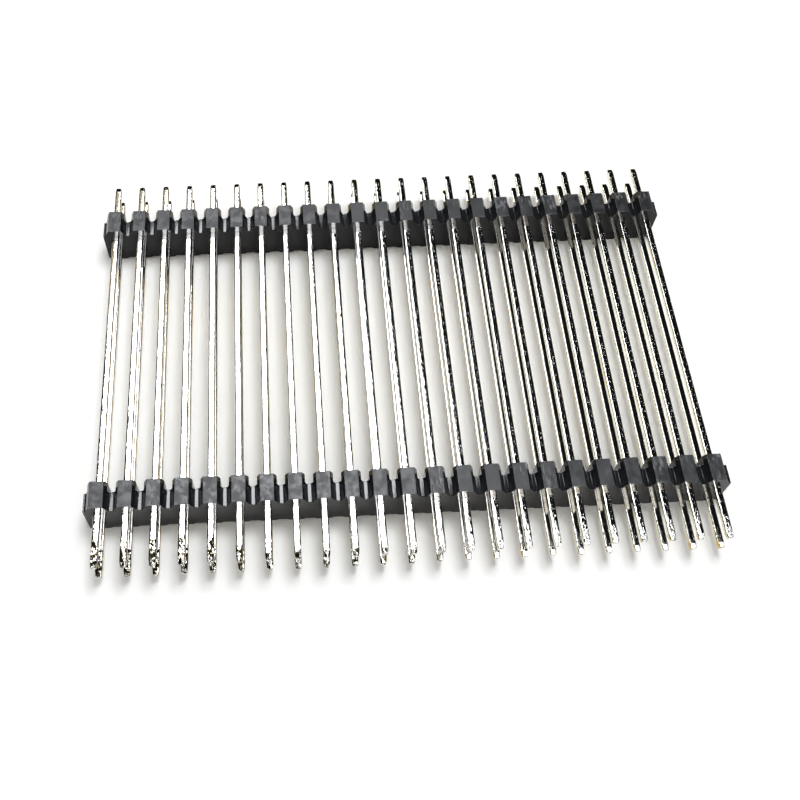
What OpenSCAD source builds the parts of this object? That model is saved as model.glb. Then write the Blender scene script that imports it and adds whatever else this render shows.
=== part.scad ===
// Double-row stacking pin header: two moulded insulator bars on two rows of long square pins.
// X runs along the rows, Y along the pins from the front tips to the rear tips, and Z up.
// The header lies on the long side of its insulators, so Z = 0 is the surface that it rests on.

/* [Layout] */
// Number of pin columns, with an upper and a lower pin in each
columns = 23; // [2:1:29]
// Distance between neighbouring columns, and between the two rows
pitch = 2.54; // [2.2:0.01:3]

/* [Pins] */
// Side of the square pin wire
pin_w = 0.64; // [0.45:0.01:0.8]
// Length of pin that stands out in front of the front insulator
front_tail = 5; // [2:0.1:12]
// Length of pin that stands out behind the rear insulator
rear_tail = 3.9; // [2:0.1:12]
// Length of the coined taper at each end of a pin
tip_length = 0.5; // [0.1:0.05:1.5]
// How far each side draws in over that taper
tip_taper = 0.07; // [0.02:0.01:0.2]
// Width of the break along the four long edges of a pin
pin_edge = 0.05; // [0.02:0.01:0.07]

/* [Insulators] */
// Thickness of an insulator along the pins
insulator_t = 2.54; // [1.8:0.01:4]
// Height of an insulator across the two rows
insulator_h = 5.08; // [4.6:0.01:6.5]
// Clear distance between the two insulators
insulator_gap = 27.5; // [4:0.5:40]
// Play between a pin and the wall of its hole, none when pressed in
hole_clearance = 0; // [0:0.01:0.05]

/* [Insulator outline] */
// Width of the flat crest over each column
crest_w = 1.28; // [1:0.01:1.5]
// Width of the floor of the groove between two crests
groove_floor_w = 0.34; // [0.1:0.01:0.5]
// Depth of that groove below the crests
groove_depth = 0.9; // [0.3:0.01:1]
// Width of the floor of the shallower groove on the underside
under_groove_floor_w = 0.74; // [0.1:0.01:0.9]
// Depth of that groove
under_groove_depth = 0.22; // [0.1:0.01:0.6]
// Width of the slot between two columns on the rear face
slot_w = 0.74; // [0.3:0.01:0.9]
// Depth of that slot from the rear face
slot_depth = 0.76; // [0.2:0.01:1.2]

/* [Hidden] */
insulator_length = columns * pitch;
pin_length = front_tail + 2 * insulator_t + insulator_gap + rear_tail;
// Front faces of the two insulators, with the middle of the pins at Y = 0
front_insulator_y = front_tail - pin_length / 2;
rear_insulator_y = front_insulator_y + insulator_t + insulator_gap;
// Heights of the two rows of pins
lower_z = (insulator_h - pitch) / 2;
upper_z = lower_z + pitch;
hole_w = pin_w + 2 * hole_clearance;
// How far a cutting shape runs past the face that it opens
past = 1;

plastic = "#2b2d31";
metal = "#d8d7d0";

function column_x(column) = (column - (columns + 1) / 2) * pitch;
function two_digits(number) = str(number < 10 ? "0" : "", number);
function upper_pin_name(column) = str("upper_pin_", two_digits(column));
function lower_pin_name(column) = str("lower_pin_", two_digits(column));

// The crest at one column, from the groove on its left to the groove on its right
function crest_points(column, floor_w, depth) =
    let (x = column_x(column), groove_x = (pitch - floor_w) / 2)
    [
        [x - groove_x, depth],
        [x - crest_w / 2, 0],
        [x + crest_w / 2, 0],
        [x + groove_x, depth]
    ];

// One long side of an insulator, measured inwards from its crests
function long_side(floor_w, depth) = [
    [-insulator_length / 2, depth],
    for (column = [1:columns]) each crest_points(column, floor_w, depth),
    [insulator_length / 2, depth]
];

// The end view of an insulator, with deep grooves above and shallow ones below
module insulator_outline() {
    upper = [for (p = long_side(groove_floor_w, groove_depth)) [p.x, insulator_h - p.y]];
    lower = long_side(under_groove_floor_w, under_groove_depth);
    count = len(lower);
    polygon(concat(upper, [for (i = [count - 1:-1:0]) lower[i]]));
}

// Square holes for both rows of pins
module pin_holes() {
    for (column = [1:columns], z = [lower_z, upper_z])
        translate([column_x(column) - hole_w / 2, -past, z - hole_w / 2])
            cube([hole_w, insulator_t + 2 * past, hole_w]);
}

// Slots that part the rear face into a rib for each column, with half a slot at each end
module rear_slots() {
    for (gap = [0:columns])
        translate([column_x(gap) + (pitch - slot_w) / 2, insulator_t - slot_depth, -past])
            cube([slot_w, slot_depth + past, insulator_h + 2 * past]);
}

// One moulded bar, with its front face on Y = 0
module insulator() {
    color(plastic)
        difference() {
            translate([0, insulator_t, 0])
                rotate([90, 0, 0])
                    linear_extrude(insulator_t)
                        insulator_outline();
            pin_holes();
            rear_slots();
        }
}

// The outline of a pin from above and from the side, with both ends tapered
module pin_outline() {
    side = pin_w / 2;
    tip = side - tip_taper;
    end = pin_length / 2;
    taper = end - tip_length;
    polygon([
        [-tip, -end], [tip, -end], [side, -taper], [side, taper],
        [tip, end], [-tip, end], [-side, taper], [-side, -taper]
    ]);
}

// The section of the pin wire, a square with broken edges
module pin_section() {
    side = pin_w / 2;
    flat = side - pin_edge;
    polygon([
        [-flat, -side], [flat, -side], [side, -flat], [side, flat],
        [flat, side], [-flat, side], [-side, flat], [-side, -flat]
    ]);
}

// One pin, centred on the origin along Y
module pin() {
    color(metal)
        intersection() {
            linear_extrude(2 * pin_w, center = true) pin_outline();
            rotate([0, 90, 0]) linear_extrude(2 * pin_w, center = true) pin_outline();
            rotate([90, 0, 0]) linear_extrude(2 * pin_length, center = true) pin_section();
        }
}

module front_insulator() {
    translate([0, front_insulator_y, 0]) insulator();
}

module rear_insulator() {
    translate([0, rear_insulator_y, 0]) insulator();
}

module upper_pin(column) {
    translate([column_x(column), 0, upper_z]) pin();
}

module lower_pin(column) {
    translate([column_x(column), 0, lower_z]) pin();
}

front_insulator();
rear_insulator();
for (column = [1:columns]) {
    upper_pin(column);
    lower_pin(column);
}
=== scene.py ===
"""Double-row stacking pin header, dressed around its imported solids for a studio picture.

X runs along the rows, Y along the pins from the front tips to the rear tips, and Z up.
All lengths are in metres.
"""

import math

import bpy
from mathutils import Matrix, Vector


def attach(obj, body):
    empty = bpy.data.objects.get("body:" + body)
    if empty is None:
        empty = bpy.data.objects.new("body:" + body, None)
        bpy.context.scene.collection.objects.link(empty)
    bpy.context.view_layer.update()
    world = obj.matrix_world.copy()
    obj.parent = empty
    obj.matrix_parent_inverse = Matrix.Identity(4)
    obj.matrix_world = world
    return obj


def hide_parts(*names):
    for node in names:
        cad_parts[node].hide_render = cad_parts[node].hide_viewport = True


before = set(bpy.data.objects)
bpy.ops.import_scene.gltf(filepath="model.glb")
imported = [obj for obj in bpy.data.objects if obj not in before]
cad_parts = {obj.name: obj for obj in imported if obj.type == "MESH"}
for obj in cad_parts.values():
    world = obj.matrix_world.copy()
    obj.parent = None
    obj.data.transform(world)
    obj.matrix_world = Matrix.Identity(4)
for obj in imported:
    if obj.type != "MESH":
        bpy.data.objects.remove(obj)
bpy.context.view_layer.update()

MM = 0.001
BODY = "root"

# Layout, the same as in the solids
COLUMNS = 23
PITCH = 2.54 * MM
PIN_SIDE = 0.64 * MM
PIN_LENGTH = 41.48 * MM
LOWER_ROW_Z = 1.27 * MM
UPPER_ROW_Z = 3.81 * MM
CREST_Z = 5.08 * MM
GROOVE_Z = 4.18 * MM


# Modelling helpers

# Points nearer to each other than this are one
POINT_MERGE = 0.001 * MM
# Steps across a round that is modelled
ROUND_STEPS = 3


def pick(piece):
    """Only this piece is selected and active."""
    bpy.ops.object.select_all(action="DESELECT")
    piece.select_set(True)
    bpy.context.view_layer.objects.active = piece


def select_points(piece, wanted):
    """In edit mode, selects the points whose place passes the test."""
    bpy.ops.mesh.select_all(action="DESELECT")
    bpy.ops.object.mode_set(mode="OBJECT")
    for point in piece.data.vertices:
        point.select = wanted(point.co)
    bpy.ops.object.mode_set(mode="EDIT")


def select_edges(piece, wanted):
    """In edit mode, selects the edges whose two ends pass the test."""
    bpy.ops.mesh.select_all(action="DESELECT")
    bpy.ops.object.mode_set(mode="OBJECT")
    points = piece.data.vertices
    for edge in piece.data.edges:
        first, second = edge.vertices
        edge.select = wanted(points[first].co, points[second].co)
    bpy.ops.object.mode_set(mode="EDIT")


def cut(place, direction):
    """In edit mode, cuts the whole piece by a plane and keeps both sides."""
    bpy.ops.mesh.select_all(action="SELECT")
    bpy.ops.mesh.bisect(plane_co=place, plane_no=direction, threshold=POINT_MERGE)


def round_off(size):
    """In edit mode, rounds the selected edges."""
    bpy.ops.mesh.bevel(offset=size, segments=ROUND_STEPS, profile=0.5)


def finish_mesh(mesh, *finishes):
    """The mesh has these finishes and no others."""
    mesh.materials.clear()
    for finish in finishes:
        mesh.materials.append(finish)


def bring_in(name, data):
    """A new object in the scene that shows this mesh, lamp or camera."""
    thing = bpy.data.objects.new(name, data)
    bpy.context.scene.collection.objects.link(thing)
    return thing


def column_x(column):
    """The middle of a column, counted from 1 at the left."""
    return (column - (COLUMNS + 1) / 2) * PITCH


def dress(piece, slot, *nodes):
    """The piece rides on the body and stands for its nodes, which are hidden. The slot is not used.
    """
    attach(piece, BODY)
    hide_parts(*nodes)


# Pins

PIN_CORNER = 0.075 * MM
# How far the middle of each side bulges
PIN_CROWN = 0.010 * MM
# Lines along each side: their place in its half width, and their part of the bulge
CROWN_LINES = ((0, 1), (0.5, 0.75))
TIP_LENGTH = 0.50 * MM
TIP_SIDE = 0.50 * MM
TIP_BREAK = 0.06 * MM
PIN_SMOOTH_ANGLE = math.radians(35)


def model_pin():
    """One pin of square wire with crowned sides, rounded corners and tapered ends, at the origin."""
    half = PIN_SIDE / 2
    flank = half - PIN_CROWN
    end = PIN_LENGTH / 2
    close = half / 100

    def on_line(across, out, share):
        """Is this point on the lines at that share of a side's half width, on that side's face?"""
        return abs(abs(across) - share * flank) < close and abs(abs(out) - flank) < close

    def along_corner(first, second):
        """Is this edge one of the four that run along the wire?"""
        at_corner = on_line(first.x, first.z, 1)
        return at_corner and abs(first.x - second.x) < close and abs(first.z - second.z) < close

    bpy.ops.object.select_all(action="DESELECT")
    bpy.ops.mesh.primitive_cube_add(size=1)
    pin = bpy.context.object
    pin.name = "pin_pattern"
    bpy.ops.object.mode_set(mode="EDIT")
    bpy.ops.transform.resize(value=(2 * flank, PIN_LENGTH, 2 * flank))
    # Lines along the middle and the quarters of each side, pushed out to the crown
    for share in (-0.5, 0, 0.5):
        cut((share * flank, 0, 0), (1, 0, 0))
        cut((0, 0, share * flank), (0, 0, 1))
    for share, crown in CROWN_LINES:
        grow = (flank + crown * PIN_CROWN) / flank
        select_points(pin, lambda p: on_line(p.x, p.z, share))
        bpy.ops.transform.resize(value=(1, 1, grow))
        select_points(pin, lambda p: on_line(p.z, p.x, share))
        bpy.ops.transform.resize(value=(grow, 1, 1))
    select_edges(pin, along_corner)
    round_off(PIN_CORNER)
    # Tapered ends with a broken edge round the cut, and a line on each side of the bend
    taper = TIP_SIDE / PIN_SIDE
    blunt = 1 - 2 * TIP_BREAK / TIP_SIDE
    for side in (-1, 1):
        cut((0, side * (end - TIP_LENGTH), 0), (0, 1, 0))
        select_points(pin, lambda p: side * p.y > end - close)
        bpy.ops.transform.resize(value=(taper, 1, taper))
        for back in (TIP_LENGTH + TIP_BREAK, TIP_LENGTH - TIP_BREAK, TIP_BREAK):
            cut((0, side * (end - back), 0), (0, 1, 0))
        select_points(pin, lambda p: side * p.y > end - close)
        bpy.ops.transform.resize(value=(blunt, 1, blunt))
    bpy.ops.object.mode_set(mode="OBJECT")
    pick(pin)
    bpy.ops.object.shade_smooth_by_angle(angle=PIN_SMOOTH_ANGLE)
    return pin


def lay_pins(pattern, upper_finish, lower_finish):
    """A copy of the pin in every column of both rows."""
    rows = (("upper", UPPER_ROW_Z, upper_finish), ("lower", LOWER_ROW_Z, lower_finish))
    for row, height, finish in rows:
        for column in range(1, COLUMNS + 1):
            node = f"{row}_pin_{column:02d}"
            mesh = pattern.data.copy()
            mesh.transform(Matrix.Translation((column_x(column), 0, height)))
            finish_mesh(mesh, finish)
            dress(bring_in(f"plated_{node}", mesh), "pin", node)
    bpy.data.objects.remove(pattern)


# Insulators

# The small round on the moulding's edges, and the round at the foot of a groove
MOULD_EDGE = 0.04 * MM
MOULD_EDGE_STEPS = 2
MOULD_EDGE_ANGLE = math.radians(25)
GROOVE_ROUND = 0.08 * MM
# Past this distance from the middle there are only the half grooves at the ends, left sharp
GROOVES_END_X = 29.0 * MM
# Faces that meet at less than this angle are one flat face
FLAT_ANGLE = math.radians(1)
# A face whose normal rises less than this stands or looks down
FACE_RISE = 0.3


def beside_groove_floor(first, second):
    """Does this edge run along the wire at the foot of a full groove?"""
    close = 0.01 * MM
    low = abs(first.z - GROOVE_Z) < close and abs(second.z - GROOVE_Z) < close
    return low and abs(first.x - second.x) < close and abs(first.x) < GROOVES_END_X


def mould_insulator(node, finish, shaded_face_finish):
    """The insulator with rounded grooves and the small round that moulding leaves on its edges."""
    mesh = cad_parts[node].data.copy()
    finish_mesh(mesh, finish, shaded_face_finish)
    bar = bring_in(f"moulded_{node}", mesh)
    pick(bar)
    bpy.ops.mesh.customdata_custom_splitnormals_clear()
    bpy.ops.object.mode_set(mode="EDIT")
    bpy.ops.mesh.select_all(action="SELECT")
    bpy.ops.mesh.remove_doubles(threshold=POINT_MERGE)
    bpy.ops.mesh.select_all(action="SELECT")
    bpy.ops.mesh.dissolve_limited(angle_limit=FLAT_ANGLE)
    select_edges(bar, beside_groove_floor)
    round_off(GROOVE_ROUND)
    bpy.ops.object.mode_set(mode="OBJECT")
    bpy.ops.object.shade_smooth()
    rounding = bar.modifiers.new("mould_round", "BEVEL")
    rounding.width = MOULD_EDGE
    rounding.segments = MOULD_EDGE_STEPS
    rounding.limit_method = "ANGLE"
    rounding.angle_limit = MOULD_EDGE_ANGLE
    rounding.harden_normals = True
    bpy.ops.object.modifier_apply(modifier="mould_round")
    # Faces that stand or look down take the second finish, whose low gloss is painted shade
    for face in bar.data.polygons:
        if face.normal.z < FACE_RISE:
            face.material_index = 1
    dress(bar, "insulator", node)


# Shader helpers


def new_material(name):
    """An empty material with its Principled shader."""
    material = bpy.data.materials.new(name)
    material.use_nodes = True
    return material, material.node_tree, material.node_tree.nodes["Principled BSDF"]


def feed(tree, value, socket):
    """Gives a socket a number, a colour or what comes out of another socket."""
    if isinstance(value, bpy.types.NodeSocket):
        tree.links.new(value, socket)
    elif isinstance(value, tuple):
        socket.default_value = (*value, 1)
    else:
        socket.default_value = value


def stretched(tree, scale=(1, 1, 1), slant=0):
    """Object coordinates, turned about the vertical by a slant in degrees and stretched."""
    source = tree.nodes.new("ShaderNodeTexCoord")
    mapping = tree.nodes.new("ShaderNodeMapping")
    mapping.inputs["Scale"].default_value = scale
    mapping.inputs["Rotation"].default_value = (0, 0, math.radians(slant))
    feed(tree, source.outputs["Object"], mapping.inputs["Vector"])
    return mapping.outputs["Vector"]


def coordinate(tree, vector, axis):
    """One coordinate of a vector."""
    split = tree.nodes.new("ShaderNodeSeparateXYZ")
    feed(tree, vector, split.inputs[0])
    return split.outputs[axis]


def calculate(tree, operation, *operands):
    """One Math node, whose operands are numbers or sockets."""
    node = tree.nodes.new("ShaderNodeMath")
    node.operation = operation
    for operand, slot in zip(operands, node.inputs):
        feed(tree, operand, slot)
    return node.outputs["Value"]


def soft_step(tree, value, low, high):
    """A smooth step from 0 at low to 1 at high, each a number or a socket."""
    step = tree.nodes.new("ShaderNodeMapRange")
    step.interpolation_type = "SMOOTHSTEP"
    feed(tree, value, step.inputs["Value"])
    feed(tree, low, step.inputs["From Min"])
    feed(tree, high, step.inputs["From Max"])
    return step.outputs["Result"]


def blend_colours(tree, share, first, second):
    """One colour mixed into another by a share, each a colour or a socket."""
    node = tree.nodes.new("ShaderNodeMix")
    node.data_type = "RGBA"
    feed(tree, share, node.inputs[0])
    feed(tree, first, node.inputs[6])
    feed(tree, second, node.inputs[7])
    return node.outputs[2]


def blend_values(tree, share, first, second):
    """One value mixed into another by a share, each a number or a socket."""
    node = tree.nodes.new("ShaderNodeMix")
    node.data_type = "FLOAT"
    feed(tree, share, node.inputs[0])
    feed(tree, first, node.inputs[2])
    feed(tree, second, node.inputs[3])
    return node.outputs[0]


def emboss(tree, shader, relief, height):
    """Gives the shader a relief, in which 1 is this high."""
    bump = tree.nodes.new("ShaderNodeBump")
    bump.inputs["Strength"].default_value = 1.0
    bump.inputs["Distance"].default_value = height
    feed(tree, relief, bump.inputs["Height"])
    feed(tree, bump.outputs["Normal"], shader.inputs["Normal"])


# Shader groups

SPECKLE_DETAIL = 2.0
SPECKLE_ROUGHNESS = 0.6
BLOTCH_DETAIL = 3.0


def new_group(name, values, outputs):
    """A shader group with a noise in it, which takes a place, a scale and more named values."""
    group = bpy.data.node_groups.new(name, "ShaderNodeTree")
    add_socket = group.interface.new_socket
    add_socket(name="Vector", in_out="INPUT", socket_type="NodeSocketVector")
    for label in ("Scale", *values):
        add_socket(name=label, in_out="INPUT", socket_type="NodeSocketFloat")
    for label in outputs:
        add_socket(name=label, in_out="OUTPUT", socket_type="NodeSocketFloat")
    entry = group.nodes.new("NodeGroupInput")
    leave = group.nodes.new("NodeGroupOutput")
    noise = group.nodes.new("ShaderNodeTexNoise")
    feed(group, entry.outputs["Vector"], noise.inputs["Vector"])
    feed(group, entry.outputs["Scale"], noise.inputs["Scale"])
    return group, entry.outputs, leave.inputs, noise


def build_speckle_group():
    """Small marks where a fine noise rises over a level, and the height of that noise."""
    group, entry, leave, noise = new_group("speckle", ("Level", "Softness"), ("Mask", "Height"))
    noise.inputs["Detail"].default_value = SPECKLE_DETAIL
    noise.inputs["Roughness"].default_value = SPECKLE_ROUGHNESS
    top = calculate(group, "ADD", entry["Level"], entry["Softness"])
    mask = soft_step(group, noise.outputs["Fac"], entry["Level"], top)
    feed(group, mask, leave["Mask"])
    feed(group, noise.outputs["Fac"], leave["Height"])
    return group


def build_blotch_group():
    """A slow variation between 0 and 1, with soft borders."""
    group, entry, leave, noise = new_group("blotch", ("Low", "High"), ("Factor",))
    noise.inputs["Detail"].default_value = BLOTCH_DETAIL
    factor = soft_step(group, noise.outputs["Fac"], entry["Low"], entry["High"])
    feed(group, factor, leave["Factor"])
    return group


def place_group(tree, group, vector, **values):
    """What comes out of a group that is placed in a material with its own values."""
    node = tree.nodes.new("ShaderNodeGroup")
    node.node_tree = group
    feed(tree, vector, node.inputs["Vector"])
    for label, value in values.items():
        feed(tree, value, node.inputs[label])
    return node.outputs


# Moulded plastic

PLASTIC_COLOUR = (0.012, 0.013, 0.0150)
CREST_COLOUR = (0.010, 0.011, 0.013)
SCUFF_COLOUR = (0.110, 0.114, 0.122)
# The crests' finish fades in between these depths below them
CREST_FADE = (0.02 * MM, 0.005 * MM)
# Gloss of the faces that look up, and of those that stand or look down, the second kept low as
# painted shade
TOP_GLOSS = 0.77
SHADED_FACE_GLOSS = 0.15
# Roughness, what a dull patch adds to it, and how much of the grain shows, each first below the
# crests and then on them
PLASTIC_DULL = (0.11, 0.29)
PATCH_DULL = (0.02, 0.18)
GRAIN_SHARE = (0.8, 1.0)
GRAIN_HEIGHT = 0.006 * MM
# Depth of a scuff, in grain heights
SCUFF_DEPTH = 3.0

DULL_PATCHES = {"Scale": 1500.0, "Low": 0.35, "High": 0.65}
HANDLED_PLACES = {"Scale": 200.0, "Low": 0.48, "High": 0.62}
GRAIN = {"Scale": 7000.0, "Level": 0.5, "Softness": 0.3}
STREAKS = {"Scale": 3300.0, "Level": 0.51, "Softness": 0.12}
STREAK_STRETCH = (1, 0.35, 1)
STREAK_SLANT = 30


def moulded_plastic(name, groups, gloss):
    """Black moulded plastic: dull and scuffed on the crests, smoother everywhere else."""
    material, tree, shader = new_material(name)
    here = stretched(tree)
    slanted = stretched(tree, STREAK_STRETCH, STREAK_SLANT)
    fade_low, fade_high = CREST_FADE
    height = coordinate(tree, here, "Z")
    on_crest = soft_step(tree, height, CREST_Z - fade_low, CREST_Z - fade_high)
    patches = place_group(tree, groups["blotch"], here, **DULL_PATCHES)
    handled = place_group(tree, groups["blotch"], here, **HANDLED_PLACES)
    streaks = place_group(tree, groups["speckle"], slanted, **STREAKS)
    grain = place_group(tree, groups["speckle"], here, **GRAIN)
    # Scuffs are streaks on the crests where these were handled
    scuffs = calculate(tree, "MULTIPLY", streaks["Mask"], handled["Factor"])
    scuffs = calculate(tree, "MULTIPLY", scuffs, on_crest)
    plain = blend_colours(tree, on_crest, PLASTIC_COLOUR, CREST_COLOUR)
    colour = blend_colours(tree, scuffs, plain, SCUFF_COLOUR)
    feed(tree, colour, shader.inputs["Base Color"])
    dull = blend_values(tree, on_crest, *PLASTIC_DULL)
    patch_dull = blend_values(tree, on_crest, *PATCH_DULL)
    patchy = calculate(tree, "MULTIPLY", patches["Factor"], patch_dull)
    feed(tree, calculate(tree, "ADD", patchy, dull), shader.inputs["Roughness"])
    grain_share = blend_values(tree, on_crest, *GRAIN_SHARE)
    grainy = calculate(tree, "MULTIPLY", grain["Height"], grain_share)
    relief = calculate(tree, "MULTIPLY_ADD", scuffs, -SCUFF_DEPTH, grainy)
    emboss(tree, shader, relief, GRAIN_HEIGHT)
    # The gloss is given; the low one for faces that stand or look down is painted shade
    shader.inputs["Specular IOR Level"].default_value = gloss
    return material


# Plated wire

PLATE_COLOUR = (0.88, 0.87, 0.85)
SIDE_COLOUR = (0.84, 0.80, 0.62)
# The sides that face right are painted a darker brown, as painted shade
PAINTED_RIGHT_SIDE_SHADE = (0.42, 0.34, 0.18)
BRASS_COLOUR = (0.66, 0.50, 0.20)
# A side's colour fades in as its normal leans from the first of these to the second
SIDE_LEAN = (0.3, 0.9)

# The plate is worn to brass where a slow noise rises over these levels, with a soft border
TOP_WEAR_LEVEL = 0.78
SIDE_WEAR_LEVEL = 0.62
# The lower level on the sides that face right adds brass to their painted shade
RIGHT_SIDE_WEAR_LEVEL = 0.47
WEAR_BORDER = 0.12
WEAR = {"Scale": 700.0, "Low": 0.0, "High": 1.0}
WEAR_STRETCH = (1, 0.12, 1)
# Between these distances from the middle the level falls by this much, so the ends wear more
END_Y = (19.8 * MM, 20.6 * MM)
END_WEAR = 0.12

# The front ends are dented and carry painted reflections past a line, which is at the first of these
# lengths at the left and moves to the second, nearer the tips, between two places along the rows
BATTER_LINE_Y = (-18.2 * MM, -20.0 * MM)
BATTER_STEP_X = (-18 * MM, -13 * MM)
BATTER_BORDER = (-0.2 * MM, 0.3 * MM)
# Painted reflections there, as gold and dark patches, get fewer between these places along the rows,
# and stop
REFLECTION_PATCHES_END_X = (0.0, 6 * MM)
REFLECTION_PATCHES = {"Scale": 3300.0, "Level": 0.47, "Softness": 0.06}
REFLECTION_PATCH_STRETCH = (1.3, 0.8, 1)
PAINTED_GOLD_REFLECTION = (0.17, 0.135, 0.035)
PAINTED_DARK_REFLECTION = (0.008, 0.007, 0.005)
# A patch of painted reflection turns from gold to dark between these heights of its noise
GOLD_TO_DARK_REFLECTION = (0.52, 0.58)

# The front tails are pitted from the insulator on, and more and deeper towards the tips
PITS_START_Y = (-15.4 * MM, -15.8 * MM)
PITS_DEEPEN_Y = (-17.0 * MM, -20.4 * MM)
PIT_LEVEL = (0.60, 0.38)
PIT_DEEPENING = 2
PITS = {"Scale": 4200.0, "Softness": 0.25}
PIT_STRETCH = (1.5, 0.6, 1)
PEBBLES = {"Scale": 9000.0, "Level": 0.63, "Softness": 0.06}
PEBBLE_STRETCH = (1, 0.7, 1)
# Height of the ripple under the pebbles, in pebble heights
RIPPLE = 2.0
WIRE_SLANT = 35
PLATE_SMOOTH = 0.03
PLATE_PITTED = 0.12

# How high or deep these are on the upper row, which was handled, and on the lower row
HANDLED_WIRE = {"pebbles": 0.0040 * MM, "pits": 0.0050 * MM, "dents": 0.035 * MM}
CLEAN_WIRE = {"pebbles": 0.0010 * MM, "pits": 0.0030 * MM, "dents": 0.010 * MM}


def worn_plate(tree, groups, reach):
    """The plate's colour: warm on the sides, painted brown shade on the sides that face right, brass
    where it wore thin.
    """
    along = stretched(tree, WEAR_STRETCH)
    facing = tree.nodes.new("ShaderNodeTexCoord").outputs["Normal"]
    lean = coordinate(tree, facing, "X")
    on_side = soft_step(tree, calculate(tree, "ABSOLUTE", lean), *SIDE_LEAN)
    on_right_side = soft_step(tree, lean, *SIDE_LEAN)
    plate = blend_colours(tree, on_side, PLATE_COLOUR, SIDE_COLOUR)
    # Painted shade: the sides that face right turn brown
    plate = blend_colours(tree, on_right_side, plate, PAINTED_RIGHT_SIDE_SHADE)
    thin = place_group(tree, groups["blotch"], along, **WEAR)
    at_end = soft_step(tree, calculate(tree, "ABSOLUTE", reach), *END_Y)
    level = blend_values(tree, on_side, TOP_WEAR_LEVEL, SIDE_WEAR_LEVEL)
    level = blend_values(tree, on_right_side, level, RIGHT_SIDE_WEAR_LEVEL)
    level = calculate(tree, "MULTIPLY_ADD", at_end, -END_WEAR, level)
    worn = soft_step(tree, thin["Factor"], level, calculate(tree, "ADD", level, WEAR_BORDER))
    return blend_colours(tree, worn, plate, BRASS_COLOUR)


def dented_and_reflecting_ends(tree, across, reach):
    """1 on the front ends, which are dented and carry painted reflections, most of all at the left,
    and 0 elsewhere.
    """
    step = soft_step(tree, across, *BATTER_STEP_X)
    line = blend_values(tree, step, *BATTER_LINE_Y)
    past_line = calculate(tree, "SUBTRACT", line, reach)
    return soft_step(tree, past_line, *BATTER_BORDER)


def paint_end_reflections(tree, groups, plate, dented_and_reflecting, across):
    """The plate's colour with painted reflections, as gold and dark patches, on the front ends of
    the left half.
    """
    slanted = stretched(tree, REFLECTION_PATCH_STRETCH, WIRE_SLANT)
    # Painted reflection: gold and dark patches on the front ends of the left half
    reflection_patches = place_group(tree, groups["speckle"], slanted, **REFLECTION_PATCHES)
    past_patches = soft_step(tree, across, *REFLECTION_PATCHES_END_X)
    patched = calculate(tree, "MULTIPLY", reflection_patches["Mask"], dented_and_reflecting)
    patched = calculate(tree, "MULTIPLY", patched, calculate(tree, "SUBTRACT", 1.0, past_patches))
    darkening = soft_step(tree, reflection_patches["Height"], *GOLD_TO_DARK_REFLECTION)
    reflected = blend_colours(tree, darkening, PAINTED_GOLD_REFLECTION, PAINTED_DARK_REFLECTION)
    return blend_colours(tree, patched, plate, reflected)


def plated_wire(name, groups, pebbles, pits, dents):
    """Bright plating, pebbled all over, pitted on the front tails and dented at their ends, which
    carry painted reflections.
    """
    material, tree, shader = new_material(name)
    here = stretched(tree)
    across = coordinate(tree, here, "X")
    reach = coordinate(tree, here, "Y")
    dented_and_reflecting = dented_and_reflecting_ends(tree, across, reach)
    plate = worn_plate(tree, groups, reach)
    colour = paint_end_reflections(tree, groups, plate, dented_and_reflecting, across)
    feed(tree, colour, shader.inputs["Base Color"])
    deepening = soft_step(tree, reach, *PITS_DEEPEN_Y)
    level = blend_values(tree, deepening, *PIT_LEVEL)
    slanted = stretched(tree, PIT_STRETCH, WIRE_SLANT)
    pit_marks = place_group(tree, groups["speckle"], slanted, Level=level, **PITS)
    on_tail = soft_step(tree, reach, *PITS_START_Y)
    pitted = calculate(tree, "MULTIPLY", pit_marks["Mask"], on_tail)
    dull = blend_values(tree, pitted, PLATE_SMOOTH, PLATE_PITTED)
    feed(tree, dull, shader.inputs["Roughness"])
    # The relief is in millimetres: pebbles on a ripple, then pits, then dents
    wide = stretched(tree, PEBBLE_STRETCH)
    pebble_marks = place_group(tree, groups["speckle"], wide, **PEBBLES)
    pebbled = calculate(tree, "MULTIPLY", pebble_marks["Mask"], pebbles / MM)
    ripple = RIPPLE * pebbles / MM
    pebbled = calculate(tree, "MULTIPLY_ADD", pit_marks["Height"], ripple, pebbled)
    pit_depth = blend_values(tree, deepening, pits / MM, PIT_DEEPENING * pits / MM)
    pit_relief = calculate(tree, "MULTIPLY", pitted, pit_depth)
    surface = calculate(tree, "ADD", pit_relief, pebbled)
    dented = calculate(tree, "MULTIPLY", dented_and_reflecting, dents / MM)
    relief = calculate(tree, "MULTIPLY_ADD", pit_marks["Height"], dented, surface)
    emboss(tree, shader, relief, MM)
    shader.inputs["Metallic"].default_value = 1.0
    return material


# Camera

LENS = 48.09
SENSOR = 36.0
SHIFT = (0.10487, -0.16017)
CLIP_START = 0.005
CAMERA_PLACE = (-9.797 * MM, -50.931 * MM, 95.509 * MM)
LOOK_DOWN = math.radians(56.76)
LOOK_ASIDE = math.radians(2.49)
ROLL = math.radians(0.227)


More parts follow.
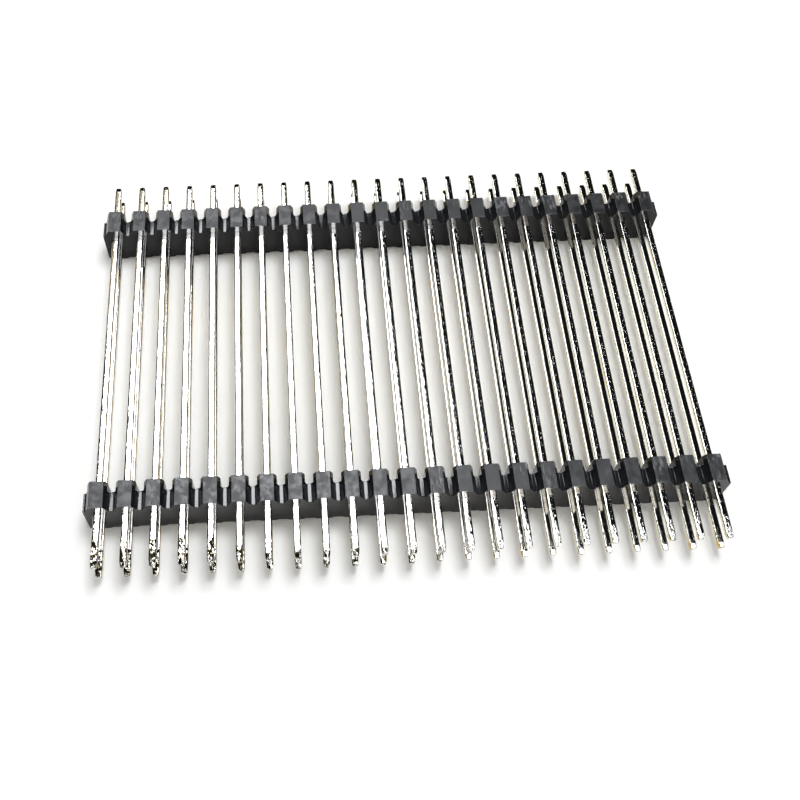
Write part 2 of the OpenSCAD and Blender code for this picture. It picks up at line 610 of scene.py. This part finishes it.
def aim_camera():
    """The camera at its place, turned by its look down, its look aside and its roll."""
    forward = Vector(
        (
            math.sin(LOOK_ASIDE) * math.cos(LOOK_DOWN),
            math.cos(LOOK_ASIDE) * math.cos(LOOK_DOWN),
            -math.sin(LOOK_DOWN),
        )
    )
    level = Vector((math.cos(LOOK_ASIDE), -math.sin(LOOK_ASIDE), 0))
    right = Matrix.Rotation(ROLL, 3, forward) @ level
    up = right.cross(forward)
    turn = Matrix((right, up, -forward)).transposed().to_4x4()
    data = bpy.data.cameras.new("camera")
    data.lens = LENS
    data.sensor_width = SENSOR
    data.shift_x, data.shift_y = SHIFT
    data.clip_start = CLIP_START
    camera = bring_in("camera", data)
    camera.matrix_world = Matrix.Translation(CAMERA_PLACE) @ turn
    bpy.context.scene.camera = camera


# Studio

FLOOR_SIDE = 12
FLOOR_COLOUR = 0.90
FLOOR_SHOWN = 1.11
SKY_COLOUR = (1.0, 0.985, 0.955)
SKY_LEVEL = 0.55
SKY_SHOWN = 1.0

# Cards for the gloss: a dark ceiling, and flags that slant the borders of the soft box
CEILING_HEIGHT = 0.60
DARK_CARD = (0.012, 0.012, 0.012)
GOLD_CARD = (0.80, 0.70, 0.45)
OLIVE_CARD = (0.30, 0.25, 0.12)
RIGHT_FLAG = {"place": (0.1039, 0.3296, 0.545), "size": (0.16, 0.46), "turn": 20.6}
LEFT_FLAG = {"place": (-0.1665, 0.4369, 0.545), "size": (0.14, 0.24), "turn": -33.3}
NEAR_FLAG = {"place": (-0.0834, 0.1443, 0.545), "size": (0.04, 0.18), "turn": -99.9}

# The lamp that throws the shadow
KEY = {"place": (0.062, 0.090, 0.44), "size": (0.14, 0.14), "watts": 1.06}
KEY_COLOUR = (0.955, 0.98, 1.0)

# Boxes that only the gloss shows: the soft box over the header, a window for the tips at the
# right, a panel and strips for the pins' roots, and a wide box in front for the view from behind
SOFT_BOX = {"place": (-0.0075, 0.29, 0.55), "size": (0.275, 0.31), "watts": 2.73}
TIP_WINDOW = {"place": (0.155, 0.01, 0.50), "size": (0.21, 0.10), "watts": 0.36}
ROOT_PANEL = {"place": (-0.035, -0.295, 0.50), "size": (0.20, 0.26), "watts": 4.9}
FRONT_BOX = {"place": (0.0, -1.05, 0.55), "size": (3.0, 1.1), "watts": 9.0}
BOX_COLOUR = (0.94, 0.96, 1.0)
STRIP = {"size": (0.125, 0.035), "watts": 0.16}
STRIP_PLACES = ((0.138, -0.19, 0.50), (0.138, -0.26, 0.50), (0.138, -0.33, 0.50))
STRIP_COLOUR = (1.0, 0.93, 0.78)


def make_matt(shader):
    """Takes the gloss off a shader."""
    shader.inputs["Roughness"].default_value = 1.0
    shader.inputs["Specular IOR Level"].default_value = 0.0


def blend_by_ray(tree, lighting, shown):
    """One value where a ray only lights the header, another for the camera and the gloss."""
    path = tree.nodes.new("ShaderNodeLightPath")
    seen = calculate(tree, "MAXIMUM", path.outputs["Is Camera Ray"], path.outputs["Is Glossy Ray"])
    return blend_values(tree, seen, lighting, shown)


def lay_floor():
    """A white floor that holds the shadow, paler to the camera and in what the metal mirrors."""
    bpy.ops.object.select_all(action="DESELECT")
    bpy.ops.mesh.primitive_plane_add(size=FLOOR_SIDE)
    floor = bpy.context.object
    floor.name = "floor"
    material, tree, shader = new_material("white_floor")
    shade = blend_by_ray(tree, FLOOR_COLOUR, FLOOR_SHOWN)
    feed(tree, shade, shader.inputs["Base Color"])
    make_matt(shader)
    floor.data.materials.append(material)


def card_finish(name, colour):
    """Matt card of one colour."""
    material, _, shader = new_material(name)
    shader.inputs["Base Color"].default_value = (*colour, 1)
    make_matt(shader)
    return material


def hang_card(name, finish, place, size, turn=0):
    """A level card over the header that only the gloss shows, turned by some degrees."""
    bpy.ops.object.select_all(action="DESELECT")
    bpy.ops.mesh.primitive_plane_add(size=1, location=place, rotation=(0, 0, math.radians(turn)))
    card = bpy.context.object
    card.name = name
    card.scale = (*size, 1)
    card.data.materials.append(finish)
    card.visible_camera = False
    card.visible_diffuse = False
    return card


def hang_cards():
    """The dark ceiling, a dark flag at the soft box's right and yellow ones at its left corners."""
    dark = card_finish("dark_card", DARK_CARD)
    ceiling = hang_card("ceiling", dark, (0, 0, CEILING_HEIGHT), (FLOOR_SIDE, FLOOR_SIDE))
    ceiling.visible_shadow = False
    hang_card("right_flag", dark, **RIGHT_FLAG)
    hang_card("left_flag", card_finish("gold_card", GOLD_CARD), **LEFT_FLAG)
    hang_card("near_flag", card_finish("olive_card", OLIVE_CARD), **NEAR_FLAG)


def hang_light(name, colour, place, size, watts):
    """A rectangular soft light that faces straight down."""
    data = bpy.data.lights.new(name, "AREA")
    data.shape = "RECTANGLE"
    data.size, data.size_y = size
    data.energy = watts
    data.color = colour
    light = bring_in(name, data)
    light.location = place
    return light


def hang_box(name, colour, **box):
    """A soft light that only the gloss shows."""
    light = hang_light(name, colour, **box)
    light.visible_diffuse = False


def light_studio():
    """The key light for the shadow, the boxes for the gloss, and an even sky."""
    key = hang_light("key", KEY_COLOUR, **KEY)
    key.visible_glossy = False
    hang_box("soft_box", BOX_COLOUR, **SOFT_BOX)
    hang_box("tip_window", BOX_COLOUR, **TIP_WINDOW)
    hang_box("root_panel", BOX_COLOUR, **ROOT_PANEL)
    hang_box("front_box", BOX_COLOUR, **FRONT_BOX)
    for place in STRIP_PLACES:
        hang_box("root_strip", STRIP_COLOUR, place=place, **STRIP)
    world = bpy.data.worlds.new("sky")
    world.use_nodes = True
    bpy.context.scene.world = world
    tree = world.node_tree
    sky = tree.nodes["Background"]
    sky.inputs["Color"].default_value = (*SKY_COLOUR, 1)
    feed(tree, blend_by_ray(tree, SKY_LEVEL, SKY_SHOWN), sky.inputs["Strength"])


# The header

bpy.context.scene.view_settings.view_transform = "Standard"
aim_camera()
groups = {"speckle": build_speckle_group(), "blotch": build_blotch_group()}
plastic = moulded_plastic("moulded_plastic", groups, TOP_GLOSS)
shaded_face_plastic = moulded_plastic("moulded_face_painted_shade", groups, SHADED_FACE_GLOSS)
handled_wire = plated_wire("plated_wire_handled", groups, **HANDLED_WIRE)
clean_wire = plated_wire("plated_wire", groups, **CLEAN_WIRE)
mould_insulator("front_insulator", plastic, shaded_face_plastic)
mould_insulator("rear_insulator", plastic, shaded_face_plastic)
lay_pins(model_pin(), handled_wire, clean_wire)
lay_floor()
hang_cards()
light_studio()
